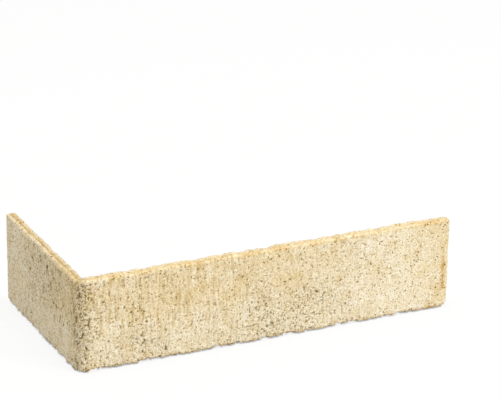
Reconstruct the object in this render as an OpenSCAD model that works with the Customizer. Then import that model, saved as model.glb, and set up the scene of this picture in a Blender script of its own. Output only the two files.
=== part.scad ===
// Corner brick slip: a thin sand-faced facing piece that wraps the outside corner of a wall.
// One piece, spread as a flat strip, rounded by hand along its edges and bent round the corner while soft.
// The stretcher leg runs along X with its face to -Y, and the header leg runs along Y with its face to -X.
// The slip stands on its lower bed edge, with the origin under the middle of its bounding box.

/* [Format] */
// Length of the stretcher leg, measured over the corner
stretcher_l = 210; // [150:1:300]
// Length of the header leg, measured over the corner
header_l = 100; // [60:1:150]
// Height of the face between the two bed edges
slip_h = 50; // [35:1:100]
// Thickness from the sanded face to the flat back
slip_t = 5; // [4:0.5:12]

/* [Corner] */
// Radius inside the bend, where the back meets the arris of the wall
bend_in_r = 2; // [1.5:0.5:8]
// Turn of each flat facet round the bend, in degrees
bend_step = 7.5; // [5:0.5:15]

/* [Edges] */
// Rounding of the face's arris along the bed edges and the ends
arris_r = 1.3; // [0.6:0.1:2.5]
// Rounding of the two lower corners of the face, seen from the front
foot_corner_r = 3.2; // [1.5:0.1:6]
// Rounding of the two upper corners of the face, seen from the front
head_corner_r = 1.2; // [0.6:0.1:6]
// Depth of the hollows along the hand-rounded bed edges
bed_wave = 0.7; // [0.2:0.1:1.5]
// Depth of the hollows down the two ends
end_wave = 0.4; // [0.2:0.1:1]
// Length of the longest ripple along an edge
wave_l = 34; // [20:1:60]

/* [Face] */
// Depth to which the sanded face lies back where it is coarsest and most open
open_depth = 0.5; // [0.2:0.1:1]
// Share of that depth by which such places rise and fall
open_swell = 0.3; // [0:0.1:0.6]

/* [Fineness] */
// Spacing of the sections along the strip
section_pitch = 3; // [2.5:0.5:5]
// Steps round an arris or a corner of the face
round_steps = 4; // [3:1:6]
// Steps up the face between its two arrises
face_steps = 12; // [6:1:14]

/* [Hidden] */
sand_cream = [0.92, 0.84, 0.66];

// The strip is measured along its face, from the free end of the header to the free end of the stretcher
bend_out_r = bend_in_r + slip_t;
header_flat = header_l - bend_out_r;
stretcher_flat = stretcher_l - bend_out_r;
bend_l = bend_out_r * PI / 2;
strip_l = header_flat + bend_l + stretcher_flat;

// The strip is moulded a little too thick, then its back is trimmed flat
back_spare = min(1, bend_in_r / 2);
// Length of the wall's corner above and below the slip
wall_spare = 10;
// Ripple below which an edge is left straight, so that its high spots stand level with one another
level_share = 0.3;
// Length at an end over which its ripple fades out and the face's own relief sets in
end_fade = 8;
// Turn of the face's swell for each millimetre up it, in degrees, which sets its high places aslant
swell_turn = 9;

// Coarseness of the sanded face, from 0 to 1: all over, and added over the stretcher and at the bend
plain_coarse = 0.16;
stretcher_coarse = 0.22;
bend_coarse = 0.78;
// Middle and reach of the coarse stretch at the bend, in outer radii past the middle of the bend
bend_middle = -0.2;
bend_reach = 0.85;
// Shares of the stretcher at which its coarseness is full, and from which to which it fades out
stretcher_full = 0.03;
stretcher_fades = 0.69;
stretcher_ends = 0.86;
// Coarse patches, as [coarseness, middle, reach, none, all]: the middle and the reach in shares of the leg
// past the bend, and the heights at which there is none and all of it in shares of the face
near_patch = [0.42, 0.16, 0.06, 0.52, 0.36];
mid_patch = [0.52, 0.55, 0.18, 0.68, 0.32];
header_patch = [0.6, -0.3, 0.28, 0.24, 0.56];

// How far a quarter round of radius r falls away at the distance d from its edge
function round_drop(d, r) = d >= r ? 0 : r - sqrt(r * r - (r - d) * (r - d));

// A ripple from -1 to 1: three waves that don't repeat together, shifted by an angle of its own
function ripple(u, shift) =
    0.48 * sin(360 * u / wave_l + shift)
    + 0.30 * sin(360 * u * 2.57 / wave_l + 2.3 * shift)
    + 0.22 * sin(360 * u * 3.91 / wave_l + 4.1 * shift);

// Depth of the hollow at a place along an edge, 0 on its high spots
function hollow(u, shift, depth) = depth * max(0, ripple(u, shift) + level_share) / (1 + level_share);

// Distance from the nearer free end of the strip
function from_end(s) = min(s, strip_l - s);

// Lower and upper bed edge at a place along the strip, with the rounded corners of the face
function bed_low(s) = hollow(s, 20, bed_wave) + round_drop(from_end(s), foot_corner_r);
function bed_high(s) = slip_h - hollow(s, 155, bed_wave) - round_drop(from_end(s), head_corner_r);

// Shift along the strip of a point near a free end, at the height z
function end_shift(s, z) =
    let (fade = max(0, 1 - from_end(s) / end_fade))
    s < strip_l / 2 ? fade * hollow(z, 160, end_wave) : -fade * hollow(z, 135, end_wave);

// Plan position of a place along the strip, at a depth behind its face, round the bend
function on_plan(s, depth) =
    let (turn = 90 * (s - header_flat) / bend_l, r = bend_out_r - depth)
    s <= header_flat ? [depth, header_l - s]
    : s >= header_flat + bend_l ? [bend_out_r + s - header_flat - bend_l, depth]
    : [bend_out_r - r * cos(turn), bend_out_r - r * sin(turn)];

// A step that goes smoothly from 0 at a to 1 at b
function smooth(x, a, b) =
    let (share = min(1, max(0, (x - a) / (b - a))))
    share * share * (3 - 2 * share);

// A bump 1 high round the place mid, nearly gone at twice its reach
function bump(x, mid, reach) = exp(-pow((x - mid) / reach, 2));

// Coarseness that a patch gives at the shares along the leg and up the face
function patch_coarse(patch, along, up) =
    patch[0] * bump(along, patch[1], patch[2]) * smooth(up, patch[3], patch[4]);

// How coarse and open the face is: most at the bend, then low on the stretcher and high on the header
function coarse(s, z) =
    let (
        past_bend = s - header_flat - bend_l / 2,
        along = past_bend / stretcher_l,
        up = z / slip_h,
        at_bend = bend_coarse * bump(past_bend / bend_out_r, bend_middle, bend_reach),
        on_stretcher = smooth(along, 0, stretcher_full) * smooth(along, stretcher_ends, stretcher_fades),
        stretcher = stretcher_coarse + patch_coarse(near_patch, along, up) + patch_coarse(mid_patch, along, up),
        header = patch_coarse(header_patch, past_bend / header_l, up)
    )
    min(1, plain_coarse + at_bend + on_stretcher * stretcher + header);

// How far the sanded face lies back at a place, not at all at the free ends
function laid_back(s, z) =
    open_depth * coarse(s, z) * (1 + open_swell * ripple(s, swell_turn * z)) * smooth(from_end(s), 0, end_fade);

// Places of the sections: close at the ends and round the bend, and evenly spaced between
end_run = max(foot_corner_r, head_corner_r, arris_r);
end_places = [for (i = [0 : round_steps]) end_run * (1 - cos(90 * i / round_steps))];
function spread(a, b) =
    let (n = ceil((b - a) / section_pitch))
    [for (i = [1 : n - 1]) a + (b - a) * i / n];
bend_turns = ceil(90 / bend_step);
bend_places = [for (i = [0 : bend_turns]) header_flat + bend_l * i / bend_turns];
places = concat(
    end_places,
    spread(end_run, header_flat),
    bend_places,
    spread(header_flat + bend_l, strip_l - end_run),
    [for (i = [round_steps : -1 : 0]) strip_l - end_places[i]]
);

// Profile of the face at one place, from the lower arris to the upper one, as [depth behind the face, height]
function face_profile(s) =
    let (low = bed_low(s), high = bed_high(s), face = round_drop(from_end(s), arris_r))
    concat(
        [for (i = [0 : round_steps])
            let (a = 90 * i / round_steps)
            let (z = low + arris_r * (1 - cos(a)))
            [face + arris_r * (1 - sin(a)) + laid_back(s, z) * sin(a), z]],
        [for (i = [1 : face_steps - 1])
            let (z = low + arris_r + (high - low - 2 * arris_r) * i / face_steps)
            [face + laid_back(s, z), z]],
        [for (i = [round_steps : -1 : 0])
            let (a = 90 * i / round_steps)
            let (z = high - arris_r * (1 - cos(a)))
            [face + arris_r * (1 - sin(a)) + laid_back(s, z) * sin(a), z]]
    );

// Section of the strip at one place: up the face, then down the back at the same heights
function section(s) =
    let (face = face_profile(s), last = len(face) - 1)
    concat(face, [for (i = [last : -1 : 0]) [slip_t + back_spare, face[i][1]]]);

// A skin over a row of sections with the same number of points, its ends closed by a strip from face to back
module skin(rings) {
    n = len(rings[0]);
    m = len(rings);
    last = (m - 1) * n;
    polyhedron(
        points = [for (ring = rings) for (p = ring) p],
        faces = concat(
            [for (i = [0 : n / 2 - 2]) [i, i + 1, n - 2 - i, n - 1 - i]],
            [for (k = [0 : m - 2]) for (i = [0 : n - 1])
                let (a = k * n + i, b = k * n + (i + 1) % n)
                each [[a, a + n, b], [b, a + n, b + n]]],
            [for (i = [0 : n / 2 - 2]) [last + n - 1 - i, last + n - 2 - i, last + i + 1, last + i]]
        )
    );
}

// The bent strip with its wavy edges, its back still too thick
module bent_strip() {
    skin([for (s = places)
        [for (p = section(s))
            let (place = on_plan(s + end_shift(s, p[1]), p[0]))
            [place[0], place[1], p[1]]]]);
}

// The corner of wall that the back fits, with its arris eased to the radius inside the bend
module wall_corner() {
    reach = stretcher_l + header_l;
    translate([slip_t, slip_t, -wall_spare])
        linear_extrude(slip_h + 2 * wall_spare) {
            translate([bend_in_r, 0]) square([reach, reach]);
            translate([0, bend_in_r]) square([reach, reach]);
            translate([bend_in_r, bend_in_r]) circle(bend_in_r, $fn = 48);
        }
}

module corner_slip() {
    color(sand_cream)
        translate([-stretcher_l / 2, -header_l / 2, 0])
            difference() {
                bent_strip();
                wall_corner();
            }
}

corner_slip();
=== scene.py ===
"""A corner brick slip standing on its bed edge on a white studio floor."""

import math

import bmesh
import bpy
from mathutils import Matrix, Vector, noise


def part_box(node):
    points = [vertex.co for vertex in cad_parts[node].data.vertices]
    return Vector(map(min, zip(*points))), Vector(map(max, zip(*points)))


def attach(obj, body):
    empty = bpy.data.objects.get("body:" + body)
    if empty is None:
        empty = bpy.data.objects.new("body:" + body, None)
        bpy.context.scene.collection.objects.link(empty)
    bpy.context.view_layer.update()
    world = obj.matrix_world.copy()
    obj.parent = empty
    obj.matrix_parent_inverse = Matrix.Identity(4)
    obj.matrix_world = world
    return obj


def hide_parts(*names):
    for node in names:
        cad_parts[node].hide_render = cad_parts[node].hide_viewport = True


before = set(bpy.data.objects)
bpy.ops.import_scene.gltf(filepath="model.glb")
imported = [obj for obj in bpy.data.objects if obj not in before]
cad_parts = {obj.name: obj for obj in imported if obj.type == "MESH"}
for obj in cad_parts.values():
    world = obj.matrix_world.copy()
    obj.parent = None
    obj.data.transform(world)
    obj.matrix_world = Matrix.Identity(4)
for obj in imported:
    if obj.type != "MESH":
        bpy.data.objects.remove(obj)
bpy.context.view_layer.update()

# Camera
# A long lens on a tripod, almost a metre and a half away. It stands to the left of the corner and
# looks down on the slip, as the photograph's edges give it.
camera_data = bpy.data.cameras.new("studio_camera")
camera_data.sensor_width = 36
camera_data.lens = 193.2
camera_data.clip_start = 0.05
camera_data.clip_end = 20
camera = bpy.data.objects.new("studio_camera", camera_data)
bpy.context.scene.collection.objects.link(camera)
camera_place = (-0.550, -1.1753, 0.5761)
heading = math.radians(25.58)
look_down = math.radians(21.73)
camera_roll = math.radians(0.77)
turn = (
    Matrix.Rotation(-heading, 4, "Z")
    @ Matrix.Rotation(math.pi / 2 - look_down, 4, "X")
    @ Matrix.Rotation(camera_roll, 4, "Z")
)
camera.matrix_world = Matrix.Translation(camera_place) @ turn
bpy.context.scene.camera = camera
bpy.context.scene.view_settings.view_transform = "Standard"

# Corner slip
# One thin strip of sanded mineral stock, spread flat in a mould with its sanded face out, rounded by
# hand along its edges and bent round a former while it is soft. A place on it is told as on the flat
# strip: along it from the header's free end, up its height, and how deep it lies behind the face.
mm = 0.001
slip_low, slip_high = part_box("corner_slip")
stretcher = slip_high.x - slip_low.x
header = slip_high.y - slip_low.y
height = slip_high.z - slip_low.z
thickness = 5 * mm
bend_inside = 2 * mm
bend_outside = bend_inside + thickness
header_flat = header - bend_outside
bend_run = bend_outside * math.pi / 2
mid_bend = header_flat + bend_run / 2
strip = header_flat + bend_run + stretcher - bend_outside
arris = 1.3 * mm
foot_corner = 3.2 * mm
head_corner = 1.2 * mm

# The waves of its edges are the solid's: how deep and long they are, the ripple below which an edge is
# straight, and the length at a free end over which the end's own wave sets in. Shifts are in degrees.
bed_wave = 0.7 * mm
end_wave = 0.4 * mm
wave_length = 34 * mm
level_share = 0.3
end_fade = 8 * mm
bed_low_shift = 20
bed_high_shift = 155
header_end_shift = 160
stretcher_end_shift = 135

# Crumbs missing from the edges: how far they reach in, and how wide and deep the slow and the quick
# ones are. The upper edge has finer ones near the bend and along the header's arris.
crumbs_low = 1.1 * mm
crumbs_high = 0.6 * mm
crumbs_fine = 0.3 * mm
crumbs_end = 0.4 * mm
slow_crumb = (4.8 * mm, 4.0 * mm)
quick_crumb = (1.5 * mm, 1.8 * mm)


def clamp(value):
    """The value, kept from 0 to 1."""
    return min(1.0, max(0.0, value))


def soft_step(value, start, end):
    """0 before start, 1 after end, and smooth between them."""
    share = clamp((value - start) / (end - start))
    return share * share * (3 - 2 * share)


def bump(value, middle, reach):
    """1 at the middle, and nearly gone at twice the reach from it."""
    return math.exp(-(((value - middle) / reach) ** 2))


def speckle(across, up, size, seed, shift=0.0):
    """Smooth noise from about -1 to 1, with spots of a size given as (across, up)."""
    return noise.noise(Vector((across / size[0], up / size[1] + shift, seed)))


def quarter_drop(distance, radius):
    """How far a quarter round falls away at a distance from its edge."""
    if distance >= radius:
        return 0.0
    return radius - math.sqrt(radius**2 - (radius - max(distance, 0.0)) ** 2)


def ripple(place, shift):
    """Three slow waves that don't repeat together, from -1 to 1."""
    turns = math.tau * place / wave_length
    shift = math.radians(shift)
    return (
        0.48 * math.sin(turns + shift)
        + 0.30 * math.sin(2.57 * turns + 2.3 * shift)
        + 0.22 * math.sin(3.91 * turns + 4.1 * shift)
    )


def hollow(place, shift, depth):
    """Depth of the hollow in an edge, none on its high spots."""
    return depth * max(0.0, ripple(place, shift) + level_share) / (1 + level_share)


def ragged(place, depth, shift, size):
    """How far crumbs are missing from an edge, from 0 to about size."""
    slow = speckle(place, depth, slow_crumb, seed=3.7, shift=shift)
    quick = speckle(place, depth, quick_crumb, seed=9.1, shift=shift)
    return size * max(0.0, 0.3 + 0.7 * slow + quick)


def bed_low(along, depth):
    """Height of the lower bed edge."""
    from_end = min(along, strip - along)
    wave = hollow(along, bed_low_shift, bed_wave)
    crumbs = ragged(along, depth, shift=1.3, size=crumbs_low)
    return wave + crumbs + quarter_drop(from_end, foot_corner)


def bed_high(along, depth):
    """Height of the upper bed edge."""
    from_end = min(along, strip - along)
    wave = hollow(along, bed_high_shift, bed_wave)
    on_stretcher = soft_step(along - mid_bend, -4 * mm, 4 * mm)
    near_bend = on_stretcher * (1 - soft_step(along - mid_bend, 30 * mm, 45 * mm))
    header_arris = (1 - on_stretcher) * (1 - soft_step(depth, 1.2 * mm, 2.2 * mm))
    size = crumbs_high - (crumbs_high - crumbs_fine) * max(near_bend, header_arris)
    crumbs = ragged(along, depth, shift=7.9, size=size)
    return height - wave - crumbs - quarter_drop(from_end, head_corner)


def end_hollow(along, depth, up):
    """How far a free end is drawn back at a height, as a shift along the strip."""
    fade = max(0.0, 1 - min(along, strip - along) / end_fade)
    if along < strip / 2:
        crumbs = ragged(up, depth, shift=15.2, size=crumbs_end)
        return fade * (hollow(up, header_end_shift, end_wave) + crumbs)
    crumbs = ragged(up, depth, shift=21.4, size=crumbs_end)
    return -fade * (hollow(up, stretcher_end_shift, end_wave) + crumbs)


# The rim is the surface from the face's arris back to the trimmed back. It is most worn on the header,
# where the most crumbs are broken out of it.
bite_depth = 0.55 * mm
stretcher_spared = 0.75


def worn_share(along):
    """How worn the rim is, from 0 to 1."""
    return 1 - stretcher_spared * soft_step(along - mid_bend, -6 * mm, 6 * mm)


def edge_bite(along, depth):
    """How far crumbs are broken out of the rim's own surface."""
    rough = speckle(along, depth, (1.2 * mm, 1.0 * mm), seed=17.7)
    rough += 0.6 * speckle(along, depth, (3.2 * mm, 2.0 * mm), seed=13.1)
    return bite_depth * worn_share(along) * max(0.0, rough + 0.15)


# Coarseness of the face, from 0 to 1: all over, and what each of its coarse places adds
coarse_all_over = 0.16
coarse_at_bend = 0.68
coarse_on_stretcher = 0.22
coarse_low_middle = 0.46
coarse_near_bend = 0.36
coarse_on_header = 0.62
coarse_at_foot = 0.55
coarse_patches = 0.20
smooth_at_top = 0.10


def coarseness(along, up):
    """How coarse the face is: most at the bend, then low on the stretcher and high on the header."""
    past_bend = along - mid_bend
    bend_reach = 6.0 * mm + 2.2 * mm * soft_step(past_bend, -2 * mm, 4 * mm)
    at_bend = bump(past_bend, -1.8 * mm, bend_reach)
    low_middle = bump(past_bend, 115 * mm, 38 * mm) * (1 - soft_step(up, 16 * mm, 34 * mm))
    near_bend = bump(past_bend, 34 * mm, 13 * mm) * (1 - soft_step(up, 12 * mm, 22 * mm))
    on_stretcher = soft_step(past_bend, 0, 6 * mm) * (1 - soft_step(past_bend, 145 * mm, 180 * mm))
    on_header = bump(past_bend, -36 * mm, 36 * mm) * soft_step(up, 8 * mm, 28 * mm)
    at_foot = 1 - soft_step(up, 0.6 * mm, 2.6 * mm)
    at_top = soft_step(up, height - 2 * mm, height)
    stretcher_part = coarse_on_stretcher + coarse_low_middle * low_middle + coarse_near_bend * near_bend
    return clamp(
        coarse_all_over
        + coarse_at_bend * at_bend
        + on_stretcher * stretcher_part
        + coarse_on_header * on_header
        + coarse_at_foot * at_foot
        - smooth_at_top * at_top
        + coarse_patches * speckle(along, up, (14 * mm, 12 * mm), seed=5.5)
    )


# Open pits between the grains: the noise above which one opens on a face without coarseness, how much
# of that a coarse face takes off, and the noise from a pit's rim to its bottom. Small ones are shallower,
# and taller on the header.
large_pit_level = 0.75
large_pit_coarse = 0.41
large_pit_bank = 0.12
small_pit_level = 0.62
small_pit_coarse = 0.44
small_pit_bank = 0.26
small_pit_depth = 0.75
header_pit_height = 1.8


def pits(along, up, coarse):
    """Depth of the open pits between the grains, from 0 to 1."""
    past_bend = along - mid_bend
    taller = header_pit_height - (header_pit_height - 1) * soft_step(past_bend, -12 * mm, -2 * mm)
    small = speckle(along, up, (1.0 * mm, 1.4 * mm * taller), seed=1.1)
    small += 0.5 * speckle(along, up, (0.5 * mm, 0.7 * mm), seed=2.2)
    large = speckle(along, up, (1.8 * mm, 3.4 * mm), seed=6.1)
    large += 0.4 * speckle(along, up, (1.0 * mm, 1.2 * mm), seed=3.9)
    fewer_far = 0.16 * soft_step(past_bend, 45 * mm, 60 * mm)
    more_on_header = 0.06 * (1 - soft_step(past_bend, -12 * mm, -6 * mm))
    large_level = large_pit_level - large_pit_coarse * coarse + fewer_far - more_on_header
    small_level = small_pit_level - small_pit_coarse * coarse
    large_pit = clamp((large - large_level) / large_pit_bank)
    small_pit = clamp((small - small_level) / small_pit_bank)
    return max(large_pit, small_pit_depth * small_pit)


def grains(along, up):
    """Height of the sand grains, about -1 to 1."""
    fine = speckle(along, up, (0.75 * mm, 0.75 * mm), seed=0.4)
    medium = speckle(along, up, (1.6 * mm, 1.8 * mm), seed=7.4)
    return 1.1 * fine + 0.3 * medium


def drag(along, up):
    """Streaks left up and down the face where the mould was drawn off, about -1 to 1."""
    past_bend = along - mid_bend
    high_on_stretcher = soft_step(up, 12 * mm, 26 * mm) * soft_step(past_bend, 0, 12 * mm)
    far = soft_step(past_bend, 75 * mm, 110 * mm)
    long_streak = speckle(along, up, (1.1 * mm, 13 * mm), seed=8.8)
    short_streak = speckle(along, up, (0.7 * mm, 5 * mm), seed=4.2)
    return (0.5 + 0.4 * high_on_stretcher) * (1 - 0.6 * far) * (long_streak + 0.7 * short_streak)


# Tan stain on the face, and painted shade on the header by the bend and along the foot, from 0 to 1: what
# each of its places adds
stain_all_over = 0.03
stain_high_up = 0.26
stain_near_bend = 0.06
stain_patches = 0.24
stain_header_end = 0.12
stain_stretcher_end = 0.24
# Painted shade: the header's face is darker towards the bend
painted_shade_by_bend = 0.08
# Tan crumbs at the foot, with painted shade where the slip meets the floor
stain_and_shade_at_foot = 0.9
stain_head = 1.2


def tan_and_shade(along, up):
    """Where the face is stained tan, from 0 to 1: in soft patches and in a line by the far end, with painted
    shade on the header by the bend and along the foot.
    """
    past_bend = along - mid_bend
    from_end = strip - along

    # Soft spread over the stretcher's upper half, fading out along it, and at both free ends
    near_bend = bump(past_bend, 30 * mm, 16 * mm) * (1 - soft_step(up, 18 * mm, 28 * mm))
    spread = stain_all_over + stain_high_up * soft_step(up, 12 * mm, 34 * mm) + stain_near_bend * near_bend
    spread *= 1 - 0.65 * soft_step(past_bend, 105 * mm, 155 * mm)
    spread *= soft_step(past_bend, -85 * mm, 4 * mm)
    spread += stain_header_end * (1 - soft_step(past_bend, -75 * mm, -45 * mm))
    spread += stain_stretcher_end * (1 - soft_step(from_end, 3 * mm, 20 * mm))
    # Painted shade, darker on the header's face towards the bend
    by_bend = soft_step(past_bend, -70 * mm, -10 * mm) * (1 - soft_step(past_bend, -6 * mm, 4 * mm))

    # Patches, weaker on the header and where the stretcher is coarse
    patch = speckle(along, up, (11 * mm, 8 * mm), seed=12.3)
    patch += 0.35 * speckle(along, up, (3.8 * mm, 4.5 * mm), seed=2.6)
    where = 0.5 + 0.5 * soft_step(past_bend, -4 * mm, 10 * mm)
    where *= 1 - 0.6 * bump(past_bend, 115 * mm, 30 * mm) * (1 - soft_step(up, 14 * mm, 30 * mm))

    # Tan crumbs and painted shade along the foot, where the slip meets the floor, a thin broken line under
    # the upper arris, and one by the far end
    foot_crumbs_and_shade = speckle(along, 0, (3 * mm, 3 * mm), seed=3.3, shift=0.7)
    foot = max(0.0, 0.45 + foot_crumbs_and_shade) * (1 - soft_step(up, 0.6 * mm, 2.4 * mm))
    arris_line = bump(height - up, 1.4 * mm, 0.6 * mm) * soft_step(past_bend, 70 * mm, 110 * mm)
    head = max(0.0, 0.2 + speckle(along, up, (0.9 * mm, 1.0 * mm), seed=6.6)) * arris_line
    end_heights = soft_step(up, 7 * mm, 13 * mm) * (1 - soft_step(up, 26 * mm, 36 * mm))
    blots = 0.65 + 1.2 * speckle(from_end, up, (1.2 * mm, 2.1 * mm), seed=1.9)
    end_line = bump(from_end, 3.4 * mm, 1.0 * mm) * end_heights * blots
    return clamp(
        spread
        + painted_shade_by_bend * by_bend
        + stain_patches * patch * where
        + stain_and_shade_at_foot * foot
        + stain_head * head
        + end_line
    )


# Its mesh: the sanded face is a grid about as fine as its grains. Its rim turns over the arris and runs
# back to the trimmed back, which is flat and has a coarse grid.
mesh_step = 0.49 * mm
arris_rings = 4
rim_rings = 8
back_inset = 1.5 * mm
back_coarse = 4
face_across = round(strip / mesh_step)
face_up = round(height / mesh_step)

slip_mesh = bmesh.new()
face_turn = Matrix.Translation((strip / 2, 0, height / 2)) @ Matrix.Rotation(math.pi / 2, 4, "X")
face_size = Matrix.Diagonal((strip / 2 - arris, height / 2 - arris, 1, 1))
bmesh.ops.create_grid(
    slip_mesh, x_segments=face_across, y_segments=face_up, size=1, matrix=face_turn @ face_size
)
rim_edges = [edge for edge in slip_mesh.edges if edge.is_boundary]
centre = Matrix.Translation((-strip / 2, 0, -height / 2))


def next_ring(edges, inset, inset_before, step_back):
    """Draws the rim out by one ring: its edges stand inset in from the strip's outline."""
    made = bmesh.ops.extrude_edge_only(slip_mesh, edges=edges)["geom"]
    verts = [part for part in made if isinstance(part, bmesh.types.BMVert)]
    longer = (strip / 2 - inset) / (strip / 2 - inset_before)
    taller = (height / 2 - inset) / (height / 2 - inset_before)
    bmesh.ops.scale(slip_mesh, vec=(longer, 1, taller), space=centre, verts=verts)
    bmesh.ops.translate(slip_mesh, vec=(0, step_back, 0), verts=verts)
    return [part for part in made if isinstance(part, bmesh.types.BMEdge)]


inset_before = arris
depth_before = 0.0
for ring in range(1, arris_rings + 1):
    angle = math.pi / 2 * ring / arris_rings
    inset = arris * (1 - math.sin(angle))
    depth = arris * (1 - math.cos(angle))
    rim_edges = next_ring(rim_edges, inset, inset_before, depth - depth_before)
    inset_before = inset
    depth_before = depth
for ring in range(rim_rings):
    rim_edges = next_ring(rim_edges, 0, 0, (thickness - arris) / rim_rings)

back_turn = (
    Matrix.Translation((strip / 2, thickness, height / 2)) @ Matrix.Rotation(-math.pi / 2, 4, "X")
)
back_size = Matrix.Diagonal((strip / 2 - back_inset, height / 2 - back_inset, 1, 1))
bmesh.ops.create_grid(
    slip_mesh,
    x_segments=face_across // back_coarse,
    y_segments=face_up // back_coarse,
    size=1,
    matrix=back_turn @ back_size,
)
bmesh.ops.bridge_loops(slip_mesh, edges=[edge for edge in slip_mesh.edges if edge.is_boundary])
bmesh.ops.recalc_face_normals(slip_mesh, faces=slip_mesh.faces)

# Its relief: grains, streaks and pits lie behind the slip's outline. The first depth of each is for a
# face without coarseness, and the second comes on top where it is all coarse. Between the grains and in
# the streaks the face lies around the middle, and no grain stands higher than its top. They all swell
# and sink as the solid's face does.
sand_depth = 0.09 * mm
sand_depth_coarse = 0.33 * mm
sand_middle = 0.8
sand_top = 0.6
streak_depth = 0.06 * mm
streak_middle = 0.9
pit_low = 0.35 * mm
pit_low_coarse = 0.40 * mm
swell_share = 0.3
swell_turn = 9 / mm
top_line_pits = 0.2

# What the material reads: how open the face is, and how tan the rim and the upper arris are
open_plain = 0.40
open_coarse = 0.60
open_kept_on_rim = 0.4
rim_tan = 0.24
rim_tan_worn = 0.13
top_line_tan = 0.13
top_line_tan_worn = 0.05

strip_place = slip_mesh.verts.layers.float_vector.new("strip_place")
pit_depth = slip_mesh.verts.layers.float.new("pit_depth")
open_face = slip_mesh.verts.layers.float.new("open_face")
drag_mark = slip_mesh.verts.layers.float.new("drag_mark")
tan_stain_and_shade = slip_mesh.verts.layers.float.new("tan_stain_and_shade")
worn_edge = slip_mesh.verts.layers.float.new("worn_edge")


def mix(start, end, share):
    """The value at a share of the way from start to end."""
    return start + (end - start) * share


def lay_round_corner(along, depth, up):
    """The place in the standing slip of a point of the flat strip."""
    if along <= header_flat:
        x, y = depth, header - along
    elif along >= header_flat + bend_run:
        x, y = bend_outside + along - header_flat - bend_run, depth
    else:
        angle = (along - header_flat) / bend_outside
        reach = bend_outside - depth
        x = bend_outside - reach * math.cos(angle)
        y = bend_outside - reach * math.sin(angle)
    return Vector((slip_low.x + x, slip_low.y + y, slip_low.z + up))


for vert in slip_mesh.verts:
    along, depth, up = vert.co
    low = bed_low(along, depth)
    high = bed_high(along, depth)
    worn = worn_share(along)

    # Crumbs bite into the rim between its arris and the back
    behind_arris = soft_step(depth, 0.6 * mm, 1.8 * mm)
    before_back = 1 - soft_step(depth, thickness - 0.2 * mm, thickness)
    on_top = soft_step(up, height - 0.2 * mm, height)
    on_foot = 1 - soft_step(up, 0, 0.2 * mm)
    bite = edge_bite(along, depth) * behind_arris * before_back * (on_foot - on_top)
    up_there = mix(low, high, up / height) + bite

    # The face, the rim and the clean line along the upper arris
    on_face = 1 - soft_step(depth, 0.4 * mm, 4 * mm)
    on_rim = soft_step(depth, 0.2 * mm, 1.0 * mm)
    on_top_line = soft_step(up_there, high - 2.2 * mm, high - 1.0 * mm)

    coarse = coarseness(along, up_there)
    pit = pits(along, up_there, coarse) * mix(1, top_line_pits, on_top_line)
    mark = drag(along, up_there)
    sand = (sand_depth + sand_depth_coarse * coarse) * max(sand_top, sand_middle - grains(along, up_there))
    streak = streak_depth * (streak_middle - mark)
    swell = 1 + swell_share * ripple(along, swell_turn * up_there)
    press = swell * (max(0.0, sand + streak) + (pit_low + pit_low_coarse * coarse) * pit)

    vert[strip_place] = Vector((along, depth, up_there))
    vert[pit_depth] = pit * on_face
    vert[open_face] = (open_plain + open_coarse * coarse) * mix(1, open_kept_on_rim, max(on_rim, on_top_line))
    vert[drag_mark] = mark * on_face
    # Tan stain, with painted shade on the header by the bend and along the foot
    vert[tan_stain_and_shade] = (
        tan_and_shade(along, up_there) * on_face
        + mix(rim_tan, rim_tan_worn, worn) * on_rim
        + mix(top_line_tan, top_line_tan_worn, worn) * on_top_line
    )
    vert[worn_edge] = worn
    along_there = along + end_hollow(along, depth, up_there)
    vert.co = lay_round_corner(along_there, depth + press * on_face, up_there)

slip_data = bpy.data.meshes.new("corner_brick_slip")
slip_mesh.to_mesh(slip_data)
slip_mesh.free()
slip = bpy.data.objects.new("corner_brick_slip", slip_data)
bpy.context.scene.collection.objects.link(slip)
for polygon in slip_data.polygons:
    polygon.use_smooth = True
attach(slip, "root")
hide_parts("corner_slip")


def linear(code):
    """A colour in sRGB hex as the linear values that a shader takes."""
    parts = [int(code[i : i + 2], 16) / 255 for i in (1, 3, 5)]
    return tuple(c / 12.92 if c <= 0.04045 else ((c + 0.055) / 1.055) ** 2.4 for c in parts) + (1.0,)


def add(tree, kind, inputs=None, stops=(), **settings):
    """Adds a node. Inputs maps its sockets to a value or to the socket that feeds them, and stops are
    a colour ramp's, as (place, colour)."""
    node = tree.nodes.new(kind)
    for name, value in settings.items():
        setattr(node, name, value)
    for name, value in (inputs or {}).items():
        if isinstance(value, bpy.types.NodeSocket):
            tree.links.new(value, node.inputs[name])
        else:
            node.inputs[name].default_value = value
    for _ in stops[2:]:
        node.color_ramp.elements.new(0.5)
    for index, (stop, code) in enumerate(stops):
        node.color_ramp.elements[index].position = stop
        node.color_ramp.elements[index].color = linear(code)
    return node


# Sanded mineral stock: fine quartz sand in a cream mineral binder, pressed and drawn off. It is dull
# all over, with tan grains in the cream, and the open pits painted dark for their shade and their brown dust.
sanded_stock = bpy.data.materials.new("sanded_mineral_stock")
sanded_stock.use_nodes = True
stock = sanded_stock.node_tree
stock.nodes.clear()
place = add(stock, "ShaderNodeAttribute", attribute_name="strip_place").outputs["Vector"]
pit_share = add(stock, "ShaderNodeAttribute", attribute_name="pit_depth").outputs["Fac"]
open_share = add(stock, "ShaderNodeAttribute", attribute_name="open_face").outputs["Fac"]
streaks = add(stock, "ShaderNodeAttribute", attribute_name="drag_mark").outputs["Fac"]
stains_and_shade = add(stock, "ShaderNodeAttribute", attribute_name="tan_stain_and_shade").outputs["Fac"]
worn_rim = add(stock, "ShaderNodeAttribute", attribute_name="worn_edge").outputs["Fac"]
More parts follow.
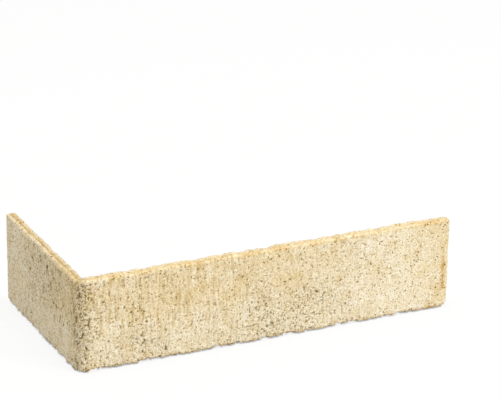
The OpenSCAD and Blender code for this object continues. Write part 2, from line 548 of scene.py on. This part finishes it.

# Cream binder in patches 5 mm wide, tan where it is stained, darker and tan where shade is painted on the
# header by the bend and along the foot, and in streaks up the face
patch_width = 5 * mm
patches = add(
    stock, "ShaderNodeTexNoise", {"Vector": place, "Scale": 1 / patch_width, "Detail": 4.0, "Roughness": 0.7}
)
cream = add(
    stock,
    "ShaderNodeValToRGB",
    {"Fac": patches.outputs["Fac"]},
    stops=((0.34, "#EEE3CC"), (0.50, "#F5EEDD"), (0.66, "#F8F4E9")),
)
stain_and_shade_tone = add(
    stock,
    "ShaderNodeValToRGB",
    {"Fac": stains_and_shade},
    stops=((0.0, "#FFFFFF"), (0.5, "#F3E8CE"), (1.0, "#DCBA86")),
)
streak_level = add(stock, "ShaderNodeMapRange", {"Value": streaks, "From Min": -0.6, "From Max": 0.6})
streak_tone = add(
    stock,
    "ShaderNodeValToRGB",
    {"Fac": streak_level.outputs["Result"]},
    stops=((0.0, "#E3D5B6"), (0.45, "#FBF8F1"), (0.8, "#FFFFFF")),
)

# Sand: each grain has its own tone, and a few are brown. Real grains of 0.2 to 0.5 mm are too fine to
# show, so they are drawn 0.7 mm wide.
grain_width = 0.7 * mm
grain_cells = add(
    stock, "ShaderNodeTexVoronoi", {"Vector": place, "Scale": 1 / grain_width, "Randomness": 1.0}
)
grain_tone = add(stock, "ShaderNodeSeparateColor", {"Color": grain_cells.outputs["Color"]})
sand_tone = add(
    stock,
    "ShaderNodeValToRGB",
    {"Fac": grain_tone.outputs["Red"]},
    stops=(
        (0.0, "#8F7946"),
        (0.022, "#B09B6A"),
        (0.05, "#E0D5BC"),
        (0.35, "#F5F1E9"),
        (0.8, "#FBFAF7"),
    ),
)

# Specks of fine shadow between the grains, about 0.5 mm wide
speck_width = 0.5 * mm
specks = add(
    stock, "ShaderNodeTexNoise", {"Vector": place, "Scale": 1 / speck_width, "Detail": 2.0, "Roughness": 0.6}
)
speck_tone = add(
    stock,
    "ShaderNodeValToRGB",
    {"Fac": specks.outputs["Fac"]},
    stops=((0.29, "#5E4820"), (0.37, "#A08C5E"), (0.43, "#EAE1CA"), (0.49, "#FFFFFF")),
)

# The stock behind the sanded layer shows on the rim: more yellow, and brown where the two join. Their
# border wanders by about 2 mm.
border_width = 3 * mm
border_wander = 2.2 * mm
border_start = 2.2 * mm
border_end = 5.8 * mm
depth_behind = add(stock, "ShaderNodeSeparateXYZ", {"Vector": place}).outputs["Y"]
uneven = add(
    stock, "ShaderNodeTexNoise", {"Vector": place, "Scale": 1 / border_width, "Detail": 3.0, "Roughness": 0.7}
)
shifted = add(
    stock,
    "ShaderNodeMath",
    {0: uneven.outputs["Fac"], 1: border_wander, 2: depth_behind},
    operation="MULTIPLY_ADD",
)
layer = add(
    stock,
    "ShaderNodeMapRange",
    {"Value": shifted.outputs[0], "From Min": border_start, "From Max": border_end},
)
layer_tone = add(
    stock,
    "ShaderNodeValToRGB",
    {"Fac": layer.outputs["Result"]},
    stops=(
        (0.0, "#FFFFFF"),
        (0.10, "#F6F1E8"),
        (0.36, "#CDBD9E"),
        (0.62, "#E6DFD0"),
        (1.0, "#F3ECDE"),
    ),
)

# Each tone darkens the cream in turn, as far as its share goes
colour = cream.outputs["Color"]
for tone, share in (
    (stain_and_shade_tone, 1.0),
    (streak_tone, 1.0),
    (sand_tone, 1.0),
    (speck_tone, open_share),
    (layer_tone, worn_rim),
):
    colour = add(
        stock,
        "ShaderNodeMix",
        {"Factor": share, "A": colour, "B": tone.outputs["Color"]},
        data_type="RGBA",
        blend_type="MULTIPLY",
    ).outputs["Result"]

# The bottom of a pit is painted dark: painted shade for the shade it lies in, and the brown dust it is full
# of
pit_shade_and_dust = linear("#78602E")
pit_shade_cover = 0.9
pit_shade_mix = add(stock, "ShaderNodeMath", {0: pit_share, 1: pit_shade_cover}, operation="MULTIPLY")
colour = add(
    stock,
    "ShaderNodeMix",
    {"Factor": pit_shade_mix.outputs[0], "A": colour, "B": pit_shade_and_dust},
    data_type="RGBA",
).outputs["Result"]

# Each grain stands out a little, and the binder between them is rough. Its real roughness of about
# 0.1 mm is too fine to show, so it is drawn 0.8 mm wide.
binder_width = 0.8 * mm
relief_height = 0.45 * mm
binder = add(
    stock, "ShaderNodeTexNoise", {"Vector": place, "Scale": 1 / binder_width, "Detail": 3.0, "Roughness": 0.7}
)
grain_height = add(
    stock,
    "ShaderNodeMath",
    {0: grain_cells.outputs["Distance"], 1: -0.5, 2: binder.outputs["Fac"]},
    operation="MULTIPLY_ADD",
)
relief = add(
    stock, "ShaderNodeBump", {"Height": grain_height.outputs[0], "Strength": 1.0, "Distance": relief_height}
)
surface = add(
    stock,
    "ShaderNodeBsdfPrincipled",
    {"Base Color": colour, "Normal": relief.outputs["Normal"], "Roughness": 0.92, "Specular IOR Level": 0.2},
)
add(stock, "ShaderNodeOutputMaterial", {"Surface": surface.outputs["BSDF"]})
slip_data.materials.append(sanded_stock)

# Studio floor
# A wide white sheet of paper that the slip stands on. The camera sees it almost white, with the slip's
# soft shadow and a thin line of shade along its foot.
floor_reach = 6
floor_drop = 0.1 * mm
floor_mesh = bmesh.new()
bmesh.ops.create_grid(floor_mesh, x_segments=1, y_segments=1, size=floor_reach)
bmesh.ops.translate(floor_mesh, vec=(0, 0, slip_low.z - floor_drop), verts=floor_mesh.verts)
floor_data = bpy.data.meshes.new("studio_floor")
floor_mesh.to_mesh(floor_data)
floor_mesh.free()
floor = bpy.data.objects.new("studio_floor", floor_data)
bpy.context.scene.collection.objects.link(floor)


def looked_at(tree):
    """1 for a ray that shows the background, straight or by way of metal or glass, and 0 for light."""
    rays = add(tree, "ShaderNodeLightPath")
    share = rays.outputs["Is Camera Ray"]
    for kind in ("Is Glossy Ray", "Is Transmission Ray"):
        either = add(tree, "ShaderNodeMath", {0: share, 1: rays.outputs[kind]}, operation="MAXIMUM")
        share = either.outputs[0]
    return share


# White paper: dull, and mostly its own plain white where the camera looks at it. The rest takes the
# slip's shadow, and the white is dimmed within about 1 mm of the slip's foot, as in the photograph.
paper_white_share = 0.85
foot_shade_reach = 1.1 * mm
foot_shade = 0.5
paper = bpy.data.materials.new("white_paper")
paper.use_nodes = True
sheet = paper.node_tree
sheet.nodes.clear()
plain = add(sheet, "ShaderNodeBsdfDiffuse", {"Color": linear("#DCDCDA")})
nearness = add(sheet, "ShaderNodeAmbientOcclusion", {"Distance": foot_shade_reach}, samples=8)
dimming = add(
    sheet,
    "ShaderNodeMapRange",
    {"Value": nearness.outputs["AO"], "From Min": 0.5, "From Max": 0.9, "To Min": foot_shade},
)
white = add(
    sheet, "ShaderNodeEmission", {"Color": linear("#FFFFFF"), "Strength": dimming.outputs["Result"]}
)
white_share = add(
    sheet, "ShaderNodeMath", {0: looked_at(sheet), 1: paper_white_share}, operation="MULTIPLY"
)
both = add(
    sheet,
    "ShaderNodeMixShader",
    {0: white_share.outputs[0], 1: plain.outputs["BSDF"], 2: white.outputs["Emission"]},
)
add(sheet, "ShaderNodeOutputMaterial", {"Surface": both.outputs["Shader"]})
floor_data.materials.append(paper)

# Studio light
# Two big soft boxes in a white room. The stronger one stands in front of the stretcher, to its right,
# so the header's face is in its own shade.
room_light = 0.705
room_white = 1.0
world = bpy.data.worlds.new("white_room")
bpy.context.scene.world = world
world.use_nodes = True
room = world.node_tree
room.nodes.clear()
room_glow = add(room, "ShaderNodeBackground", {"Color": linear("#FFFFFF"), "Strength": room_light})
room_seen = add(room, "ShaderNodeBackground", {"Color": linear("#FFFFFF"), "Strength": room_white})
room_mix = add(
    room,
    "ShaderNodeMixShader",
    {0: looked_at(room), 1: room_glow.outputs["Background"], 2: room_seen.outputs["Background"]},
)
add(room, "ShaderNodeOutputWorld", {"Surface": room_mix.outputs["Shader"]})


def soft_box(name, place, size, power):
    """A square area lamp that faces the slip."""
    lamp = bpy.data.lights.new(name, "AREA")
    lamp.shape = "SQUARE"
    lamp.size = size
    lamp.energy = power
    stand = bpy.data.objects.new(name, lamp)
    bpy.context.scene.collection.objects.link(stand)
    aim = Vector((0, 0, 20 * mm)) - Vector(place)
    stand.matrix_world = Matrix.Translation(place) @ aim.to_track_quat("-Z", "Y").to_matrix().to_4x4()


soft_box("key_box", place=(1.50, -1.86, 1.36), size=0.86, power=39.5)
soft_box("top_box", place=(-0.1, -0.1, 1.5), size=0.9, power=12.5)
